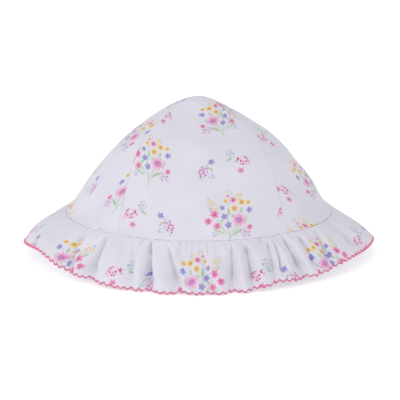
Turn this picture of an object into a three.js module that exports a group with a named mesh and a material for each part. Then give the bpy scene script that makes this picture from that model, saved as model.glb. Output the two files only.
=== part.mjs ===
// A small child's floppy sun hat in white printed cotton: a dome-shaped crown of four gores,
// a ruffle gathered to its lower edge as the brim, and a scalloped thread edging round the ruffle.
//
// Millimetres, +Z up. The front faces -Y. The hat stands on its brim by itself, open below,
// with the origin on that surface under its middle. An azimuth is an angle round the hat's
// axis: 0 at the front, 90 degrees at +X.

import * as THREE from "three";

const DEGREE = Math.PI / 180;

// Driving sizes of the hat. The brim's are those of its cloth, and its edging stands outside them.
const CROWN_TOP = 94.2;
const JOIN_HEIGHT = 25.2;
const JOIN_HALF_WIDTH = 80.5;
const JOIN_HALF_DEPTH = 71.5;
const BRIM_HALF_WIDTH = 103.2;
const BRIM_HALF_DEPTH = 88.4;
const CROWN_WALL = 1.4;
const RUFFLE_WALL = 1.2;
const EDGING_HEIGHT = 2.2;
const EDGING_THICKNESS = 1.6;

// The space that sewn pieces keep between them, and what the crown's flat facets take of it
const GAP = 0.3;
const FACET_SLACK = 0.15;

// The crown's outline down the middle of a gore, which flares in its last few millimetres
const CROWN_OUTLINE = [
  { drop: 0, halfWidth: 0 },
  { drop: 1.9, halfWidth: 6.5 },
  { drop: 6, halfWidth: 14 },
  { drop: 10, halfWidth: 20.9 },
  { drop: 15, halfWidth: 30.3 },
  { drop: 22, halfWidth: 40.8 },
  { drop: 31, halfWidth: 50.3 },
  { drop: 41, halfWidth: 58.7 },
  { drop: 52, halfWidth: 67.2 },
  { drop: 61, halfWidth: 73.3 },
  { drop: 65.5, halfWidth: 76.5 },
  { drop: CROWN_TOP - JOIN_HEIGHT, halfWidth: JOIN_HALF_WIDTH },
];

// The four seams of the crown in order: the azimuth of each at the crown's tip and at the brim
const SEAMS = [
  { atTip: -64, atBrim: -34.8 },
  { atTip: 68, atBrim: 38.3 },
  { atTip: 114, atBrim: 142 },
  { atTip: 246, atBrim: 218 },
];
const SEAM_BEND = 1.2;

// The four gores, each by the seam that it starts from
const GORES = ["crown_gore_front", "crown_gore_right", "crown_gore_back", "crown_gore_left"];

// How far the crown stands out along a seam, as a gore lies flatter in its middle
const RIDGE_AT_TIP = 1.5;
const RIDGE_AT_BRIM = 1;
const RIDGE_FULL_FROM = 20;

// Half width of the small hole where the four tips meet
const TIP_HALF_WIDTH = 1.5;

// Soft dents in the crown: where each lies, how far it reaches round and down, and its depth.
// The last four stand out instead: the cloth runs straight down to the join in front, and the
// crown is a little fuller on its upper left and down its right side.
const DENTS = [
  { azimuth: 68, down: 0.9, round: 9, along: 0.24, depth: 1.8 },
  { azimuth: -52, down: 0.82, round: 12, along: 0.25, depth: 0.9 },
  { azimuth: 14, down: 0.42, round: 22, along: 0.3, depth: 0.8 },
  { azimuth: 150, down: 0.85, round: 13, along: 0.26, depth: 1.2 },
  { azimuth: 212, down: 0.8, round: 15, along: 0.3, depth: 1.1 },
  { azimuth: 0, down: 0.92, round: 62, along: 0.13, depth: -1.5 },
  { azimuth: -90, down: 0.22, round: 80, along: 0.22, depth: -1.2 },
  { azimuth: 95, down: 0.6, round: 45, along: 0.4, depth: -1 },
  { azimuth: 95, down: 0.8, round: 30, along: 0.14, depth: -0.8 },
];

// The ruffle's top is turned up inside the crown by this much as its seam allowance
const SEAM_ALLOWANCE = 4;

// The ruffle puffs out before it falls: 0 would be a straight cone, 1 a full quarter round
const PUFF_IN_FRONT = 0.29;
const PUFF_BEHIND = 0.22;

// The brim's edge rests on the surface at the front and back and lifts towards the sides: by the
// square of the azimuth's sine, up to where the lift is whole, and less behind the sides, where
// two lobes below lift it again. The lift is turned a little, so that it starts sooner on the +X
// side.
const SIDE_LIFT = 10.9;
const LIFT_FLAT = 0.15;
const LIFT_WHOLE_FROM = 0.92;
const LIFT_TURNED = 2.7 * DEGREE;
const LIFT_SHARE_BEHIND = 0.2;

// Where the ruffle hangs in a way of its own: azimuth and reach in degrees, how much higher and
// further out its edge is in mm, and how much more it puffs out
const LOBES = [
  { azimuth: 0, reach: 62, rise: 0, out: 2.6, puff: 0 },
  { azimuth: 180, reach: 62, rise: 0, out: 2, puff: 0 },
  { azimuth: -133, reach: 22, rise: 12, out: 0, puff: 0 },
  { azimuth: -104, reach: 12, rise: 0, out: 0, puff: -0.1 },
  { azimuth: -84, reach: 24, rise: -4.2, out: 2.2, puff: 0.14 },
  { azimuth: -48, reach: 16, rise: -2, out: 0, puff: 0 },
  { azimuth: 25, reach: 13, rise: 1.9, out: 0, puff: 0 },
  { azimuth: 45, reach: 18, rise: -2.4, out: 0, puff: 0 },
  { azimuth: 66, reach: 20, rise: -3.2, out: 0, puff: 0 },
  { azimuth: 86, reach: 22, rise: -3, out: 2, puff: 0.04 },
  { azimuth: 100, reach: 16, rise: 0, out: 0, puff: -0.18 },
  { azimuth: 133, reach: 22, rise: 12, out: 0, puff: 0 },
];

// Where the front's form turns into the back's, by the cosine of the azimuth
const TURNS_BEHIND = { from: 0.17, to: -0.35 };

// The ruffle's valleys, in degrees: the azimuth of each at the crown and at the edge, its half
// width, and its depth in millimetres. Each starts some way down from the crown.
const FOLDS = [
  { atCrown: -52, atEdge: -46.5, halfWidth: 5.5, depth: 4.6, starts: 0.02 },
  { atCrown: -40, atEdge: -37.2, halfWidth: 4.8, depth: 6.2, starts: 0 },
  { atCrown: -26, atEdge: -21.5, halfWidth: 5.2, depth: 3.6, starts: 0.05 },
  { atCrown: -20, atEdge: -15.8, halfWidth: 4.8, depth: 6, starts: 0 },
  { atCrown: -6, atEdge: -4.5, halfWidth: 6.5, depth: 2.6, starts: 0.05 },
  { atCrown: 1.2, atEdge: 3, halfWidth: 5, depth: 2.2, starts: 0.1 },
  { atCrown: 12.8, atEdge: 11, halfWidth: 4.6, depth: 6, starts: 0 },
  { atCrown: 18.4, atEdge: 17.4, halfWidth: 4.2, depth: 5, starts: 0.05 },
  { atCrown: 26.2, atEdge: 25.8, halfWidth: 4.8, depth: 4.6, starts: 0.05 },
  { atCrown: 34.9, atEdge: 35.2, halfWidth: 4.8, depth: 6.2, starts: 0 },
  { atCrown: 43.4, atEdge: 42, halfWidth: 5, depth: 4.2, starts: 0.05 },
  { atCrown: 53.5, atEdge: 49, halfWidth: 6, depth: 4.4, starts: 0.05 },
  { atCrown: 69, atEdge: 66.5, halfWidth: 7, depth: 4, starts: 0.05 },
  { atCrown: 104, atEdge: 101, halfWidth: 7, depth: 4, starts: 0.05 },
  { atCrown: 115, atEdge: 117, halfWidth: 5.5, depth: 5.5, starts: 0 },
  { atCrown: 128, atEdge: 125.5, halfWidth: 6, depth: 5, starts: 0.05 },
  { atCrown: 140, atEdge: 142, halfWidth: 5, depth: 6.2, starts: 0 },
  { atCrown: 151, atEdge: 149, halfWidth: 6, depth: 4, starts: 0.1 },
  { atCrown: 161, atEdge: 162.5, halfWidth: 5, depth: 5.8, starts: 0 },
  { atCrown: 172, atEdge: 170, halfWidth: 6.5, depth: 3, starts: 0.1 },
  { atCrown: 184, atEdge: 186, halfWidth: 5, depth: 6, starts: 0 },
  { atCrown: 195, atEdge: 192.5, halfWidth: 5.5, depth: 4.6, starts: 0.05 },
  { atCrown: 207, atEdge: 209, halfWidth: 5, depth: 6.2, starts: 0 },
  { atCrown: 219, atEdge: 217, halfWidth: 6.5, depth: 3.6, starts: 0.1 },
  { atCrown: 229, atEdge: 232, halfWidth: 5.5, depth: 5.6, starts: 0 },
  { atCrown: 242, atEdge: 240, halfWidth: 6.5, depth: 4.2, starts: 0.05 },
  { atCrown: 254, atEdge: 256.5, halfWidth: 7, depth: 4.4, starts: 0.05 },
];

// A valley is at its whole depth from here on down the ruffle, and keeps a share at the edge
const FOLD_WHOLE_FROM = 0.45;
const FOLD_SHARE_AT_EDGE = 0.5;

// Steps across each mesh: a gore's rows and columns, the ruffle's rows, and columns round the brim
const GORE_ROWS = 10;
const GORE_COLUMNS = 14;
const RUFFLE_ROWS = [0.1, 0.26, 0.48, 0.74, 1];
const BRIM_COLUMNS = 216;

const cotton = new THREE.MeshStandardMaterial({ color: 0xf0eff5, roughness: 0.9, metalness: 0 });
const thread = new THREE.MeshStandardMaterial({ color: 0xd4608f, roughness: 0.75, metalness: 0 });

// 1 at the centre, falling smoothly to 0 at a distance of 1
function bell(distance) {
  return Math.abs(distance) < 1 ? (1 + Math.cos(Math.PI * distance)) / 2 : 0;
}

// The difference between two azimuths, from minus half a turn to half a turn
function turnBetween(from, to) {
  return THREE.MathUtils.euclideanModulo(to - from + Math.PI, 2 * Math.PI) - Math.PI;
}

// The crown. Down runs from 0 at the tip to 1 at the lower edge, along the outline.
const outline = new THREE.SplineCurve(
  CROWN_OUTLINE.map(({ drop, halfWidth }) => new THREE.Vector2(halfWidth, CROWN_TOP - drop)),
);
outline.arcLengthDivisions = 800;
const OUTLINE_LENGTH = outline.getLength();

function seamAzimuth({ atTip, atBrim }, down) {
  return THREE.MathUtils.lerp(atBrim, atTip, (1 - down) ** SEAM_BEND) * DEGREE;
}

// The azimuths between which a gore lies at a place down the crown
function goreSpan(gore, down) {
  const start = seamAzimuth(SEAMS[gore], down);
  const end = seamAzimuth(SEAMS[(gore + 1) % SEAMS.length], down);
  return { start, width: THREE.MathUtils.euclideanModulo(end - start, 2 * Math.PI) };
}

// How far the crown stands out at an azimuth: nothing in a gore's middle, most at its seams
function ridgeAt(down, azimuth, halfWidth) {
  const fromSeams = SEAMS.map((_, gore) => {
    const { start, width } = goreSpan(gore, down);
    return THREE.MathUtils.euclideanModulo(azimuth - start, 2 * Math.PI) / width;
  });
  const across = fromSeams.find((share) => share <= 1) ?? 0;
  const height = THREE.MathUtils.lerp(RIDGE_AT_TIP, RIDGE_AT_BRIM, down);
  return height * Math.abs(2 * across - 1) ** 3 * Math.min(1, halfWidth / RIDGE_FULL_FROM);
}

function dentAt(down, azimuth) {
  return DENTS.reduce((depth, dent) => {
    const round = turnBetween(dent.azimuth * DEGREE, azimuth) / (dent.round * DEGREE);
    return depth + dent.depth * bell(round) * bell((down - dent.down) / dent.along);
  }, 0);
}

// A point of the crown at an inset below its outer face, square to the outline
function crownPoint(down, azimuth, inset) {
  const onOutline = outline.getPointAt(down);
  const tangent = outline.getTangentAt(down);
  const outward = ridgeAt(down, azimuth, onOutline.x) - dentAt(down, azimuth) - inset;
  const halfWidth = onOutline.x - tangent.y * outward;
  const halfDepth = (onOutline.x * JOIN_HALF_DEPTH) / JOIN_HALF_WIDTH - tangent.y * outward;
  const height = onOutline.y + tangent.x * outward;
  return new THREE.Vector3(halfWidth * Math.sin(azimuth), -halfDepth * Math.cos(azimuth), height);
}

// A closed wall between two grids of points, whose rows run down and whose columns run towards
// +azimuth. A ring's last column joins its first; any other wall gets end strips at its sides.
function wallGeometry(outerGrid, innerGrid, isRing) {
  const rows = outerGrid.length - 1;
  const width = outerGrid[0].length;
  const columns = isRing ? width : width - 1;
  const points = [...outerGrid.flat(), ...innerGrid.flat()];
  const outer = (row, column) => row * width + (column % width);
  const inner = (row, column) => outer(row, column) + (rows + 1) * width;
  const faces = [];
  const quad = (a, b, c, d) => faces.push(a, b, c, a, c, d);
  for (let column = 0; column < columns; column += 1) {
    const next = column + 1;
    for (let row = 0; row < rows; row += 1) {
      quad(outer(row, column), outer(row + 1, column), outer(row + 1, next), outer(row, next));
      quad(inner(row, column), inner(row, next), inner(row + 1, next), inner(row + 1, column));
    }
    quad(outer(0, column), outer(0, next), inner(0, next), inner(0, column));
    quad(outer(rows, next), outer(rows, column), inner(rows, column), inner(rows, next));
  }
  for (let row = 0; row < rows && !isRing; row += 1) {
    quad(outer(row + 1, 0), outer(row, 0), inner(row, 0), inner(row + 1, 0));
    quad(outer(row, columns), outer(row + 1, columns), inner(row + 1, columns), inner(row, columns));
  }
  const geometry = new THREE.BufferGeometry().setFromPoints(points);
  geometry.setIndex(faces);
  geometry.computeVertexNormals();
  return geometry;
}

function namedMesh(name, geometry, material) {
  const mesh = new THREE.Mesh(geometry, material);
  mesh.name = name;
  return mesh;
}

// One gore: rows from its tip, just clear of the axis, down to the crown's lower edge. Its
// columns keep half the gap from the seam at each side.
function makeGore(name, gore) {
  const tipDown = TIP_HALF_WIDTH / OUTLINE_LENGTH;
  const gridAt = (inset) =>
    Array.from({ length: GORE_ROWS + 1 }, (_, row) => {
      const down = THREE.MathUtils.lerp(tipDown, 1, row / GORE_ROWS);
      const { start, width } = goreSpan(gore, down);
      const halfGap = GAP / 2 / Math.abs(crownPoint(down, 0, CROWN_WALL).y);
      return Array.from({ length: GORE_COLUMNS + 1 }, (_, column) => {
        const across = column / GORE_COLUMNS;
        return crownPoint(down, start + halfGap + across * (width - 2 * halfGap), inset);
      });
    });
  return namedMesh(name, wallGeometry(gridAt(0), gridAt(CROWN_WALL), false), cotton);
}

// The ruffle. Fall runs from 0 where it leaves the crown to 1 at the cloth's edge.
const RUFFLE_INSET = CROWN_WALL + GAP + FACET_SLACK;

function behindAt(azimuth) {
  return 1 - THREE.MathUtils.smoothstep(Math.cos(azimuth), TURNS_BEHIND.to, TURNS_BEHIND.from);
}

// What the lobes add at an azimuth, by the name of the column
function lobesAt(azimuth, column) {
  return LOBES.reduce((sum, lobe) => {
    const distance = turnBetween(lobe.azimuth * DEGREE, azimuth) / (lobe.reach * DEGREE);
    return sum + lobe[column] * bell(distance);
  }, 0);
}

function liftAt(azimuth) {
  const sine = Math.sin(azimuth + LIFT_TURNED);
  const sideways = THREE.MathUtils.smoothstep(sine ** 2, 0, LIFT_WHOLE_FROM);
  const share = THREE.MathUtils.lerp(1, LIFT_SHARE_BEHIND, behindAt(azimuth));
  return Math.max(0, SIDE_LIFT * share * sideways + lobesAt(azimuth, 'rise') - LIFT_FLAT);
}

function foldDepth(azimuth, fall) {
  const towardsEdge = THREE.MathUtils.smoothstep(fall, FOLD_WHOLE_FROM, 1);
  const share = THREE.MathUtils.lerp(1, FOLD_SHARE_AT_EDGE, towardsEdge);
  const depths = FOLDS.map((fold) => {
    const middle = THREE.MathUtils.lerp(fold.atCrown, fold.atEdge, fall) * DEGREE;
    const across = turnBetween(middle, azimuth) / (fold.halfWidth * DEGREE);
    const growth = THREE.MathUtils.smoothstep(fall, fold.starts, FOLD_WHOLE_FROM);
    return fold.depth * growth * share * bell(across);
  });
  return Math.hypot(...depths);
}

function rufflePoint(azimuth, fall) {
  const join = crownPoint(1, azimuth, RUFFLE_INSET);
  const fullPuff = THREE.MathUtils.lerp(PUFF_IN_FRONT, PUFF_BEHIND, behindAt(azimuth));
  const puff = (fullPuff + lobesAt(azimuth, 'puff')) * (1 - fall);
  const out = fall * (1 + puff);
  const drop = fall * (1 - puff);
  const edgeHeight = liftAt(azimuth) + EDGING_HEIGHT + GAP;
  const inward = foldDepth(azimuth, fall);
  const furtherOut = lobesAt(azimuth, 'out');
  const edgeX = (BRIM_HALF_WIDTH + furtherOut) * Math.sin(azimuth);
  const edgeY = -(BRIM_HALF_DEPTH + furtherOut) * Math.cos(azimuth);
  return new THREE.Vector3(
    THREE.MathUtils.lerp(join.x, edgeX, out) - inward * Math.sin(azimuth),
    THREE.MathUtils.lerp(join.y, edgeY, out) + inward * Math.cos(azimuth),
    THREE.MathUtils.lerp(join.z, edgeHeight, drop),
  );
}

// The ruffle's directions at a point: down along the cloth, and out of its upper face
function ruffleFrame(azimuth, fall) {
  const step = 0.004;
  const before = Math.max(0, fall - step);
  const after = Math.min(1, fall + step);
  const down = rufflePoint(azimuth, after).sub(rufflePoint(azimuth, before)).normalize();
  const round = rufflePoint(azimuth + step, fall).sub(rufflePoint(azimuth - step, fall));
  const out = down.clone().cross(round).normalize();
  return { down, out };
}

const brimAzimuths = Array.from(
  { length: BRIM_COLUMNS },
  (_, column) => (column / BRIM_COLUMNS) * 2 * Math.PI,
);

// The ruffle's top two rows lie inside the crown as its seam allowance, and the rest puffs out
function makeRuffle() {
  const allowanceDown = 1 - SEAM_ALLOWANCE / OUTLINE_LENGTH;
  const insideCrown = (down, inset) =>
    brimAzimuths.map((azimuth) => crownPoint(down, azimuth, RUFFLE_INSET + inset));
  const below = (fall, inset) =>
    brimAzimuths.map((azimuth) => {
      const { out } = ruffleFrame(azimuth, fall);
      return rufflePoint(azimuth, fall).addScaledVector(out, -inset);
    });
  const gridAt = (inset) => [
    insideCrown(allowanceDown, inset),
    insideCrown(1, inset),
    ...RUFFLE_ROWS.map((fall) => below(fall, inset)),
  ];
  return namedMesh("ruffle_brim", wallGeometry(gridAt(0), gridAt(RUFFLE_WALL), true), cotton);
}

// The edging: a narrow band that goes on from the cloth's edge, flat underneath where it rests
function makeEdging() {
  const proud = (EDGING_THICKNESS - RUFFLE_WALL) / 2;
  const faceAt = (offset) => {
    const top = [];
    const bottom = [];
    for (const azimuth of brimAzimuths) {
      const { down, out } = ruffleFrame(azimuth, 1);
      const corner = rufflePoint(azimuth, 1).addScaledVector(down, GAP).addScaledVector(out, offset);
      top.push(corner);
      const slant = (corner.z - liftAt(azimuth)) / -down.z;
      bottom.push(corner.clone().addScaledVector(down, slant));
    }
    return [top, bottom];
  };
  const outer = faceAt(proud);
  const inner = faceAt(proud - EDGING_THICKNESS);
  return namedMesh("picot_edging", wallGeometry(outer, inner, true), thread);
}

const hat = new THREE.Group();
hat.name = "floppy_sun_hat";
hat.add(...GORES.map(makeGore), makeRuffle(), makeEdging());

export default hat;
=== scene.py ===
# %% [markdown]
# # A small child's floppy sun hat
# The hat is sewn from six pieces: four gores of printed cotton that make the crown, a long strip
# gathered into a ruffle for the brim, and a thread edging of small scallops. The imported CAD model
# says where each of them lies. This script dresses that model: it keeps every main form and adds
# what only cloth shows, which is soft folds, gathers, seams, a print and a thread.
# All shapes are worked out in millimetres, as in the CAD source, and turned to metres at the end.

# %% Load the frame
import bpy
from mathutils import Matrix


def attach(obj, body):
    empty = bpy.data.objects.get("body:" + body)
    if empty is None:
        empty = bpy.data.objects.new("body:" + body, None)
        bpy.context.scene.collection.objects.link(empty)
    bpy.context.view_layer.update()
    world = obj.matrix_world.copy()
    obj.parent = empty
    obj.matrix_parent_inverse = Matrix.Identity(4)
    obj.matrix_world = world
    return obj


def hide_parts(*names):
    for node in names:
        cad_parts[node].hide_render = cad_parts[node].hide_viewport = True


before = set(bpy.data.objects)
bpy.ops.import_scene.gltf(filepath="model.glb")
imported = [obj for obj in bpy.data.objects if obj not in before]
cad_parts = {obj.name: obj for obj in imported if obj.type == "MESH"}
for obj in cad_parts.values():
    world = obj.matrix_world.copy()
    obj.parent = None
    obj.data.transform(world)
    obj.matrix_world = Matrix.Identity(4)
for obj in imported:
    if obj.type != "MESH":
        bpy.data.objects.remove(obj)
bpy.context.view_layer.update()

import math

import bmesh
import bpy
import numpy as np
from mathutils import Vector

MM = 0.001
DEGREE = math.pi / 180
print("CAD nodes:", sorted(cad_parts))

# %% [markdown]
# ## The camera
# A product photograph is taken from some way off with a long lens, so that near and far parts of
# the hat come out at nearly the same scale. The camera stands in front of the hat, above its top,
# and looks slightly down. Its height, distance and tilt were found by fitting the outline of the
# crown and of the brim.

# %% Place the camera
CAMERA_PLACE = (0.7, -760, 231.5)
CAMERA_TILT = 14.85
CAMERA_LENS = 116.6
SENSOR_WIDTH = 36

bpy.ops.object.select_all(action="DESELECT")
bpy.ops.object.camera_add(location=Vector(CAMERA_PLACE) * MM, rotation=((90 - CAMERA_TILT) * DEGREE, 0, 0))
camera = bpy.context.object
camera.name = "product_camera"
camera.data.sensor_width = SENSOR_WIDTH
camera.data.lens = CAMERA_LENS
bpy.context.scene.camera = camera
print("Camera tilted down by", CAMERA_TILT, "degrees")

# %% [markdown]
# ## Small shape helpers
# Cloth has no sharp steps, so every dent, fold and pucker here is a smooth bump. Three helpers make
# them all: a blend between two values, a soft step, and a bell that is 1 in its middle and 0 at its
# rim. Three more measure turns, directions and lengths. They all work on whole arrays at once,
# because a sheet of cloth has tens of thousands of points.


# %% Blend, soft step and bell
def blend(start, end, share):
    return start + (end - start) * share


def soft_step(value, low, high):
    share = np.clip((value - low) / (high - low), 0, 1)
    return share * share * (3 - 2 * share)


def bell(distance):
    return np.where(np.abs(distance) < 1, (1 + np.cos(math.pi * np.clip(distance, -1, 1))) / 2, 0)


def turn_between(start, end):
    return (end - start + math.pi) % (2 * math.pi) - math.pi


def unit(vectors):
    return vectors / np.linalg.norm(vectors, axis=-1, keepdims=True)


def length_along(points):
    """The length of a line through points, from the first one to each of them."""
    steps = np.linalg.norm(np.diff(points, axis=0), axis=-1)
    return np.concatenate([np.zeros_like(steps[:1]), np.cumsum(steps, axis=0)])


print("Bell at 0, a half and 1:", bell(np.array([0, 0.5, 1])))

# %% [markdown]
# ## The crown's outline
# The crown is a dome whose sides run down almost straight and flare just above the ruffle. Its
# outline down the middle of a gore is a smooth curve through a dozen points, the same ones as in the
# CAD source, so that the cloth lies where the solids are. A place on it is given by its share of
# the way down along the curve, since that is how a tailor would measure the gore.

# %% Curve through the outline's points
CROWN_TOP = 94.2
JOIN_HALF_WIDTH = 80.5
JOIN_HALF_DEPTH = 71.5
CROWN_WALL = 1.4

# Each point's drop below the top and its distance from the hat's axis
CROWN_OUTLINE = [
    (0, 0), (1.9, 6.5), (6, 14), (10, 20.9), (15, 30.3), (22, 40.8),
    (31, 50.3), (41, 58.7), (52, 67.2), (61, 73.3), (65.5, 76.5), (69, JOIN_HALF_WIDTH),
]
STEPS_PER_SPAN = 200


def smooth_curve(points, steps):
    """Points along a Catmull-Rom spline, whose end points count twice."""
    points = np.vstack([points[:1], points, points[-1:]])
    share = np.linspace(0, 1, steps, endpoint=False)[:, None]
    spans = []
    for before, start, end, after in zip(points, points[1:], points[2:], points[3:]):
        leave, arrive = (end - before) / 2, (after - start) / 2
        cubic = 2 * start - 2 * end + leave + arrive
        square = 3 * end - 3 * start - 2 * leave - arrive
        spans.append(((cubic * share + square) * share + leave) * share + start)
    return np.vstack([*spans, points[-1:]])


outline = smooth_curve(np.array([(half, CROWN_TOP - drop) for drop, half in CROWN_OUTLINE]), STEPS_PER_SPAN)
outline_run = length_along(outline)
OUTLINE_LENGTH = outline_run[-1]
outline_run /= OUTLINE_LENGTH
outline_slope = unit(np.gradient(outline, outline_run, axis=0))


def on_outline(down):
    """Distance from the axis, height, and the two parts of the tangent, at a share of the way down."""
    columns = [*outline.T, *outline_slope.T]
    return [np.interp(down, outline_run, column) for column in columns]


print("Length of a gore down its middle, mm:", round(OUTLINE_LENGTH, 1))

# %% [markdown]
# ## The crown's surface
# A gore is cut flat, so it lies flatter in its middle and stands out a little along its seams. On
# top of that come the soft dents of cloth that nothing stretches. One function gives any point of
# the crown from its share of the way down, its azimuth round the hat and its depth below the face.
# The face, the reverse, and the ring that the ruffle hangs from all come from it, so they fit.

# %% Seams, ridges and dents
# The azimuth of each seam at the tip and at the brim
SEAMS = [(-64, -34.8), (68, 38.3), (114, 142), (246, 218)]
SEAM_BEND = 1.2
RIDGE_AT_TIP = 1.5
RIDGE_AT_BRIM = 1
RIDGE_FULL_FROM = 20
RIDGE_SHARPNESS = 3

# Azimuth, place down the crown, reach round in degrees, reach down, and depth in mm. The last
# four stand out instead: the cloth runs straight down to the join in front, and the crown is a
# little fuller on its upper left and down its right side.
DENTS = [
    (68, 0.9, 9, 0.24, 1.8),
    (-52, 0.82, 12, 0.25, 0.9),
    (14, 0.42, 22, 0.3, 0.8),
    (150, 0.85, 13, 0.26, 1.2),
    (212, 0.8, 15, 0.3, 1.1),
    (0, 0.92, 62, 0.13, -1.5),
    (-90, 0.22, 80, 0.22, -1.2),
    (95, 0.6, 45, 0.4, -1),
    (95, 0.8, 30, 0.14, -0.8),
]


def seam_azimuth(seam, down):
    at_tip, at_brim = SEAMS[seam % len(SEAMS)]
    return blend(at_brim, at_tip, (1 - down) ** SEAM_BEND) * DEGREE


def gore_span(gore, down):
    """The azimuth where a gore starts, and the angle that it covers."""
    start = seam_azimuth(gore, down)
    return start, (seam_azimuth(gore + 1, down) - start) % (2 * math.pi)


def ridge_at(down, azimuth, half_width):
    height = blend(RIDGE_AT_TIP, RIDGE_AT_BRIM, down) * np.minimum(1, half_width / RIDGE_FULL_FROM)
    ridge = np.zeros(np.broadcast(down, azimuth).shape)
    for gore in range(len(SEAMS)):
        start, width = gore_span(gore, down)
        across = (azimuth - start) % (2 * math.pi) / width
        ridge = np.where(across <= 1, np.abs(2 * across - 1) ** RIDGE_SHARPNESS, ridge)
    return ridge * height


def dent_at(down, azimuth):
    depth = 0
    for middle, dent_down, around, along, deep in DENTS:
        across = turn_between(middle * DEGREE, azimuth) / (around * DEGREE)
        depth = depth + deep * bell(across) * bell((down - dent_down) / along)
    return depth


def crown_point(down, azimuth, inset):
    half, height, tangent_out, tangent_up = on_outline(down)
    outward = ridge_at(down, azimuth, half) - dent_at(down, azimuth) - inset
    half_width = half - tangent_up * outward
    half_depth = half * JOIN_HALF_DEPTH / JOIN_HALF_WIDTH - tangent_up * outward
    along_z = (height + tangent_out * outward) * np.ones_like(half_width)
    return np.stack([half_width * np.sin(azimuth), -half_depth * np.cos(azimuth), along_z], axis=-1)


front_join = crown_point(1, np.array([0]), 0)[0]
print("Front of the crown's lower edge, mm:", front_join.round(1))

# %% [markdown]
# ## Turning a grid of points into cloth
# Cloth is a thin closed wall with a printed face and a plain reverse. Solidify could thicken a
# single sheet, but near a gore's tip it would turn the wall inside out, so both faces are given as
# grids and joined here along their rims. Each point also keeps its place on the flat cloth, in
# metres, as a UV map. The print is read from that map, so it bends and gathers with the cloth.

# %% Corners of a wall
def wall_corners(rows, across, is_ring):
    """Every face as four corners, each a side (0 face, 1 reverse), a row and a column."""
    row, column = np.meshgrid(np.arange(rows - 1), np.arange(across), indexing="ij")
    row, column = row.ravel(), column.ravel()

    def faces(*corners):
        filled = [np.stack(np.broadcast_arrays(side, r, c), axis=-1) for side, r, c in corners]
        return np.stack(filled, axis=1)

    face = faces((0, row, column), (0, row + 1, column), (0, row + 1, column + 1), (0, row, column + 1))
    reverse = faces((1, row, column), (1, row, column + 1), (1, row + 1, column + 1), (1, row + 1, column))
    along, last, end = np.arange(across), rows - 1, np.arange(rows - 1)
    rims = [
        faces((0, 0, along), (0, 0, along + 1), (1, 0, along + 1), (1, 0, along)),
        faces((0, last, along + 1), (0, last, along), (1, last, along), (1, last, along + 1)),
    ]
    if not is_ring:
        rims.append(faces((0, end + 1, 0), (0, end, 0), (1, end, 0), (1, end + 1, 0)))
        rims.append(faces((0, end, across), (0, end + 1, across), (1, end + 1, across), (1, end, across)))
    return face, reverse, np.concatenate(rims)


print("Faces of a wall of two rows and three columns:", sum(map(len, wall_corners(3, 3, False))))

# %% Build a wall of cloth
CLOTH_MAP = "flat_cloth"
SMOOTH_BELOW = 50 * DEGREE


def new_piece(name, points, faces):
    """A piece of points in mm, at the real size."""
    mesh = bpy.data.meshes.new(name)
    mesh.from_pydata((points * MM).tolist(), [], faces.tolist())
    piece = bpy.data.objects.new(name, mesh)
    bpy.context.scene.collection.objects.link(piece)
    return piece


def cloth_wall(name, outer, inner, flat, is_ring):
    """A closed wall between two grids in mm. flat has one more column than a ring has."""
    rows, columns = outer.shape[:2]
    across = columns if is_ring else columns - 1
    face, reverse, rims = wall_corners(rows, across, is_ring)
    corners = np.concatenate([face, rims, reverse])
    side, row, column = corners[..., 0], corners[..., 1], corners[..., 2]
    index = side * rows * columns + row * columns + column % columns
    piece = new_piece(name, np.concatenate([outer.reshape(-1, 3), inner.reshape(-1, 3)]), index)
    mesh = piece.data
    mesh.uv_layers.new(name=CLOTH_MAP).data.foreach_set("uv", (flat[row, column] * MM).ravel())
    is_reverse = np.arange(len(corners)) >= len(face) + len(rims)
    mesh.polygons.foreach_set("material_index", is_reverse.astype(np.int32))
    smooth(piece)
    return piece


def smooth(piece):
    """Shades a piece smooth, but for edges sharper than a rolled edge of cloth."""
    bpy.ops.object.select_all(action="DESELECT")
    bpy.context.view_layer.objects.active = piece
    piece.select_set(True)
    bpy.ops.object.shade_smooth_by_angle(angle=SMOOTH_BELOW)


def triangles(piece):
    return sum(len(face.vertices) - 2 for face in piece.data.polygons)


print("Edges are shaded smooth below", round(SMOOTH_BELOW / DEGREE), "degrees")

# %% [markdown]
# ## The four gores
# Each gore runs from the tip to the join as one piece of cloth. The needle pulls its edge down into
# the seam, which leaves a narrow groove with a rounded lip, and here and there a small pucker where
# the thread is tight. A bevel can't round an edge that narrows to nothing at the tip, so the grid's
# outer columns are set close together and let down along a quarter circle. One row of stitches
# makes the puckers, so both gores at a seam share them.

# %% Where the seams pucker
CRAFT_SEED = 12
SEAM_PUCKER_SPACING = (4, 8)
SEAM_PUCKER_DEPTH = (0.08, 0.3)
SEAM_PUCKER_REACH = 6
SEAM_PUCKER_HALF_LENGTH = 2.4
SEAM_PUCKERS_AT_MOST = 30

craft = np.random.default_rng(CRAFT_SEED)


def seam_puckers():
    """Places in mm down a seam, each with its depth."""
    places = np.cumsum(craft.uniform(*SEAM_PUCKER_SPACING, SEAM_PUCKERS_AT_MOST))
    places = places[places < OUTLINE_LENGTH]
    return list(zip(places, craft.uniform(*SEAM_PUCKER_DEPTH, len(places))))


puckers_by_seam = [seam_puckers() for _ in SEAMS]
print("Puckers along each seam:", [len(puckers) for puckers in puckers_by_seam])

# %% Shape one gore
GORE_NAMES = ["front", "right", "back", "left"]
SEAM_GAP = 0.05
TIP_RADIUS = 0.25
LIP_STEPS = np.array([0, 0.04, 0.15, 0.33, 0.55, 0.8])
SEAM_LIP = 0.2
EDGE_LIP = 0.2
LIP_SHARE = 0.15
GORE_ROWS = 104
GORE_COLUMNS = 108
STEPS_ACROSS = 24
SWELL = 0.22
# Waves of a slow swell: turns round the hat, turn down the crown, shift and share
SWELL_WAVES = [(3, 9, 0, 1), (5, -13, 1, 0.7)]


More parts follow.
